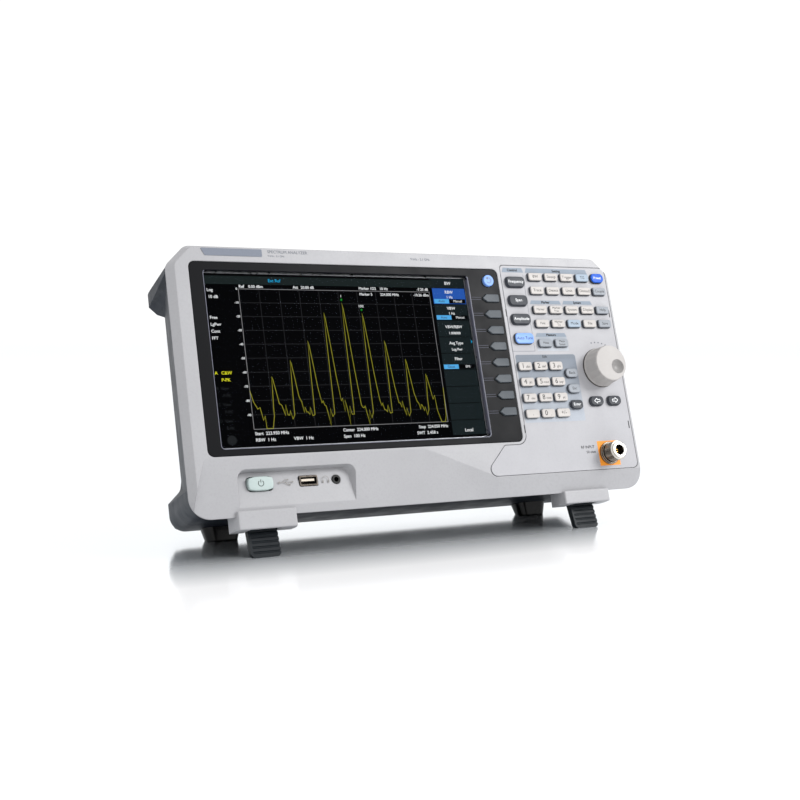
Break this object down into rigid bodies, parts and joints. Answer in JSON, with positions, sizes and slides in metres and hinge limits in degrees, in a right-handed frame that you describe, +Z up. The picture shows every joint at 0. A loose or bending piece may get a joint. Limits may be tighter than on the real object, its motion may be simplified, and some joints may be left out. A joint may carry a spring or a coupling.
{
  "type": "spectrum analyzer",
  "caption": "Bench spectrum analyzer with a wide display, soft keys, a key panel with a turning knob, a coaxial input, flip-out front feet and a pull-up carrying handle.",
  "frame": {"origin": "centre of the footprint of the whole instrument, on the surface it stands on, in its leaned-back working pose", "axes": "+X to the instrument's right as its user sees it, +Y away from the user, +Z up"},
  "size_m": [0.393, 0.1596, 0.2213],
  "materials": {
    "bezel_grey": "fine texture",
    "panel_grey": "fine texture",
    "frame_dark": "satin",
    "case_dark": "fine texture",
    "screen_glass": "clear",
    "lcd_metal": "satin",
    "key_white": "satin",
    "key_grey": "satin",
    "key_dark": "satin",
    "key_light_blue": "satin",
    "key_blue": "satin",
    "soft_key_grey": "satin",
    "power_key": "translucent",
    "knob_grey": "satin",
    "foot_dark": "satin",
    "foot_rubber": "smooth",
    "nickel": "bright",
    "gold": "bright",
    "white_ptfe": "plain",
    "port_metal": "satin",
    "port_black": "satin",
    "sheet_metal": "brushed",
    "circuit_board": "solder mask",
    "silicone": "matte",
    "can_metal": "plated",
    "screw_black": "black oxide"
  },
  "bodies": {
    "case": {"front_bezel": "bezel_grey", "display_surround": "frame_dark", "control_panel": "panel_grey", "display_glass": "screen_glass", "lcd_panel": "lcd_metal", "keypad_mat": "silicone", "front_boards": "circuit_board", "usb_port": "port_metal", "headphone_jack": "port_black", "encoder_body": "port_metal", "rf_input_shell": "nickel", "rf_input_insulator": "white_ptfe", "rf_input_pin": "gold", "rear_feet": "foot_rubber", "rear_cover": "case_dark", "case_screws": "screw_black", "corner_bumpers": "foot_rubber", "chassis_tray": "sheet_metal", "main_board": "circuit_board", "rf_module": "can_metal", "power_supply": "circuit_board", "fan_frame": "port_black", "mains_inlet": "port_black", "rear_ports": "port_metal", "reference_sockets": "nickel"},
    "soft_key_1": {"soft_key_1": "soft_key_grey"},
    "soft_key_2": {"soft_key_2": "soft_key_grey"},
    "soft_key_3": {"soft_key_3": "soft_key_grey"},
    "soft_key_4": {"soft_key_4": "soft_key_grey"},
    "soft_key_5": {"soft_key_5": "soft_key_grey"},
    "soft_key_6": {"soft_key_6": "soft_key_grey"},
    "soft_key_7": {"soft_key_7": "soft_key_grey"},
    "soft_key_8": {"soft_key_8": "soft_key_grey"},
    "frequency_key": {"frequency_key": "key_dark"},
    "span_key": {"span_key": "key_dark"},
    "amplitude_key": {"amplitude_key": "key_dark"},
    "auto_tune_key": {"auto_tune_key": "key_light_blue"},
    "preset_key": {"preset_key": "key_blue"},
    "back_key": {"back_key": "key_grey"},
    "escape_key": {"escape_key": "key_grey"},
    "enter_key": {"enter_key": "key_dark"},
    "left_arrow_key": {"left_arrow_key": "key_dark"},
    "right_arrow_key": {"right_arrow_key": "key_dark"},
    "setting_keys_top": {"setting_keys_top": "key_white"},
    "setting_keys_bottom": {"setting_keys_bottom": "key_white"},
    "marker_keys": {"marker_keys": "key_white"},
    "system_keys": {"system_keys": "key_white"},
    "measure_keys": {"measure_keys": "key_grey"},
    "number_keys_row_1": {"number_keys_row_1": "key_white"},
    "number_keys_row_2": {"number_keys_row_2": "key_white"},
    "number_keys_row_3": {"number_keys_row_3": "key_white"},
    "number_keys_row_4": {"number_keys_row_4": "key_white"},
    "return_key": {"return_key": "key_light_blue"},
    "power_button": {"power_button": "power_key"},
    "knob": {"knob": "knob_grey", "encoder_shaft": "port_metal"},
    "left_foot": {"left_foot": "foot_dark"},
    "right_foot": {"right_foot": "foot_dark"},
    "carry_handle": {"carry_handle": "case_dark"},
    "fan_rotor": {"fan_rotor": "port_black"}
  },
  "joints": [
    {"name": "soft_key_1_press", "type": "slide", "parent": "case", "child": "soft_key_1", "axis": [0, 0.9575, -0.2884], "range_m": [0, 0.0008], "stiffness_N_per_m": 600, "springref_m": -0.0005},
    {"name": "soft_key_2_press", "type": "slide", "parent": "case", "child": "soft_key_2", "axis": [0, 0.9575, -0.2884], "range_m": [0, 0.0008], "stiffness_N_per_m": 600, "springref_m": -0.0005},
    {"name": "soft_key_3_press", "type": "slide", "parent": "case", "child": "soft_key_3", "axis": [0, 0.9575, -0.2884], "range_m": [0, 0.0008], "stiffness_N_per_m": 600, "springref_m": -0.0005},
    {"name": "soft_key_4_press", "type": "slide", "parent": "case", "child": "soft_key_4", "axis": [0, 0.9575, -0.2884], "range_m": [0, 0.0008], "stiffness_N_per_m": 600, "springref_m": -0.0005},
    {"name": "soft_key_5_press", "type": "slide", "parent": "case", "child": "soft_key_5", "axis": [0, 0.9575, -0.2884], "range_m": [0, 0.0008], "stiffness_N_per_m": 600, "springref_m": -0.0005},
    {"name": "soft_key_6_press", "type": "slide", "parent": "case", "child": "soft_key_6", "axis": [0, 0.9575, -0.2884], "range_m": [0, 0.0008], "stiffness_N_per_m": 600, "springref_m": -0.0005},
    {"name": "soft_key_7_press", "type": "slide", "parent": "case", "child": "soft_key_7", "axis": [0, 0.9575, -0.2884], "range_m": [0, 0.0008], "stiffness_N_per_m": 600, "springref_m": -0.0005},
    {"name": "soft_key_8_press", "type": "slide", "parent": "case", "child": "soft_key_8", "axis": [0, 0.9575, -0.2884], "range_m": [0, 0.0008], "stiffness_N_per_m": 600, "springref_m": -0.0005},
    {"name": "frequency_key_press", "type": "slide", "parent": "case", "child": "frequency_key", "axis": [0, 0.9575, -0.2884], "range_m": [0, 0.0008], "stiffness_N_per_m": 600, "springref_m": -0.0005},
    {"name": "span_key_press", "type": "slide", "parent": "case", "child": "span_key", "axis": [0, 0.9575, -0.2884], "range_m": [0, 0.0008], "stiffness_N_per_m": 600, "springref_m": -0.0005},
    {"name": "amplitude_key_press", "type": "slide", "parent": "case", "child": "amplitude_key", "axis": [0, 0.9575, -0.2884], "range_m": [0, 0.0008], "stiffness_N_per_m": 600, "springref_m": -0.0005},
    {"name": "auto_tune_key_press", "type": "slide", "parent": "case", "child": "auto_tune_key", "axis": [0, 0.9575, -0.2884], "range_m": [0, 0.0008], "stiffness_N_per_m": 600, "springref_m": -0.0005},
    {"name": "preset_key_press", "type": "slide", "parent": "case", "child": "preset_key", "axis": [0, 0.9575, -0.2884], "range_m": [0, 0.0008], "stiffness_N_per_m": 600, "springref_m": -0.0005},
    {"name": "back_key_press", "type": "slide", "parent": "case", "child": "back_key", "axis": [0, 0.9575, -0.2884], "range_m": [0, 0.0008], "stiffness_N_per_m": 600, "springref_m": -0.0005},
    {"name": "escape_key_press", "type": "slide", "parent": "case", "child": "escape_key", "axis": [0, 0.9575, -0.2884], "range_m": [0, 0.0008], "stiffness_N_per_m": 600, "springref_m": -0.0005},
    {"name": "enter_key_press", "type": "slide", "parent": "case", "child": "enter_key", "axis": [0, 0.9575, -0.2884], "range_m": [0, 0.0008], "stiffness_N_per_m": 600, "springref_m": -0.0005},
    {"name": "left_arrow_key_press", "type": "slide", "parent": "case", "child": "left_arrow_key", "axis": [0, 0.9575, -0.2884], "range_m": [0, 0.0008], "stiffness_N_per_m": 600, "springref_m": -0.0005},
    {"name": "right_arrow_key_press", "type": "slide", "parent": "case", "child": "right_arrow_key", "axis": [0, 0.9575, -0.2884], "range_m": [0, 0.0008], "stiffness_N_per_m": 600, "springref_m": -0.0005},
    {"name": "setting_keys_top_press", "type": "slide", "parent": "case", "child": "setting_keys_top", "axis": [0, 0.9575, -0.2884], "range_m": [0, 0.0008], "stiffness_N_per_m": 600, "springref_m": -0.0005},
    {"name": "setting_keys_bottom_press", "type": "slide", "parent": "case", "child": "setting_keys_bottom", "axis": [0, 0.9575, -0.2884], "range_m": [0, 0.0008], "stiffness_N_per_m": 600, "springref_m": -0.0005},
    {"name": "marker_keys_press", "type": "slide", "parent": "case", "child": "marker_keys", "axis": [0, 0.9575, -0.2884], "range_m": [0, 0.0008], "stiffness_N_per_m": 600, "springref_m": -0.0005},
    {"name": "system_keys_press", "type": "slide", "parent": "case", "child": "system_keys", "axis": [0, 0.9575, -0.2884], "range_m": [0, 0.0008], "stiffness_N_per_m": 600, "springref_m": -0.0005},
    {"name": "measure_keys_press", "type": "slide", "parent": "case", "child": "measure_keys", "axis": [0, 0.9575, -0.2884], "range_m": [0, 0.0008], "stiffness_N_per_m": 600, "springref_m": -0.0005},
    {"name": "number_keys_row_1_press", "type": "slide", "parent": "case", "child": "number_keys_row_1", "axis": [0, 0.9575, -0.2884], "range_m": [0, 0.0008], "stiffness_N_per_m": 600, "springref_m": -0.0005},
    {"name": "number_keys_row_2_press", "type": "slide", "parent": "case", "child": "number_keys_row_2", "axis": [0, 0.9575, -0.2884], "range_m": [0, 0.0008], "stiffness_N_per_m": 600, "springref_m": -0.0005},
    {"name": "number_keys_row_3_press", "type": "slide", "parent": "case", "child": "number_keys_row_3", "axis": [0, 0.9575, -0.2884], "range_m": [0, 0.0008], "stiffness_N_per_m": 600, "springref_m": -0.0005},
    {"name": "number_keys_row_4_press", "type": "slide", "parent": "case", "child": "number_keys_row_4", "axis": [0, 0.9575, -0.2884], "range_m": [0, 0.0008], "stiffness_N_per_m": 600, "springref_m": -0.0005},
    {"name": "return_key_press", "type": "slide", "parent": "case", "child": "return_key", "axis": [0, 0.9575, -0.2884], "range_m": [0, 0.0008], "stiffness_N_per_m": 600, "springref_m": -0.0005},
    {"name": "power_button_press", "type": "slide", "parent": "case", "child": "power_button", "axis": [0, 0.9575, -0.2884], "range_m": [0, 0.0015], "stiffness_N_per_m": 600, "springref_m": -0.0005},
    {"name": "knob_turn", "type": "hinge", "parent": "case", "child": "knob", "pos_m": [0.1693, -0.04235, 0.12853], "axis": [0, -0.9575, 0.2884], "continuous": true},
    {"name": "left_foot_fold", "type": "hinge", "parent": "case", "child": "left_foot", "pos_m": [-0.1415, -0.05714, 0.02218], "axis": [1, 0, 0], "range_deg": [0, 96]},
    {"name": "right_foot_fold", "type": "hinge", "parent": "case", "child": "right_foot", "pos_m": [0.137, -0.05714, 0.02218], "axis": [1, 0, 0], "range_deg": [0, 96]},
    {"name": "handle_pull", "type": "slide", "parent": "case", "child": "carry_handle", "axis": [0, 0.2884, 0.9575], "range_m": [0, 0.028]},
    {"name": "fan_spin", "type": "hinge", "parent": "case", "child": "fan_rotor", "pos_m": [0.0785, 0.02731, 0.12332], "axis": [0, 0.9575, -0.2884], "continuous": true}
  ]
}
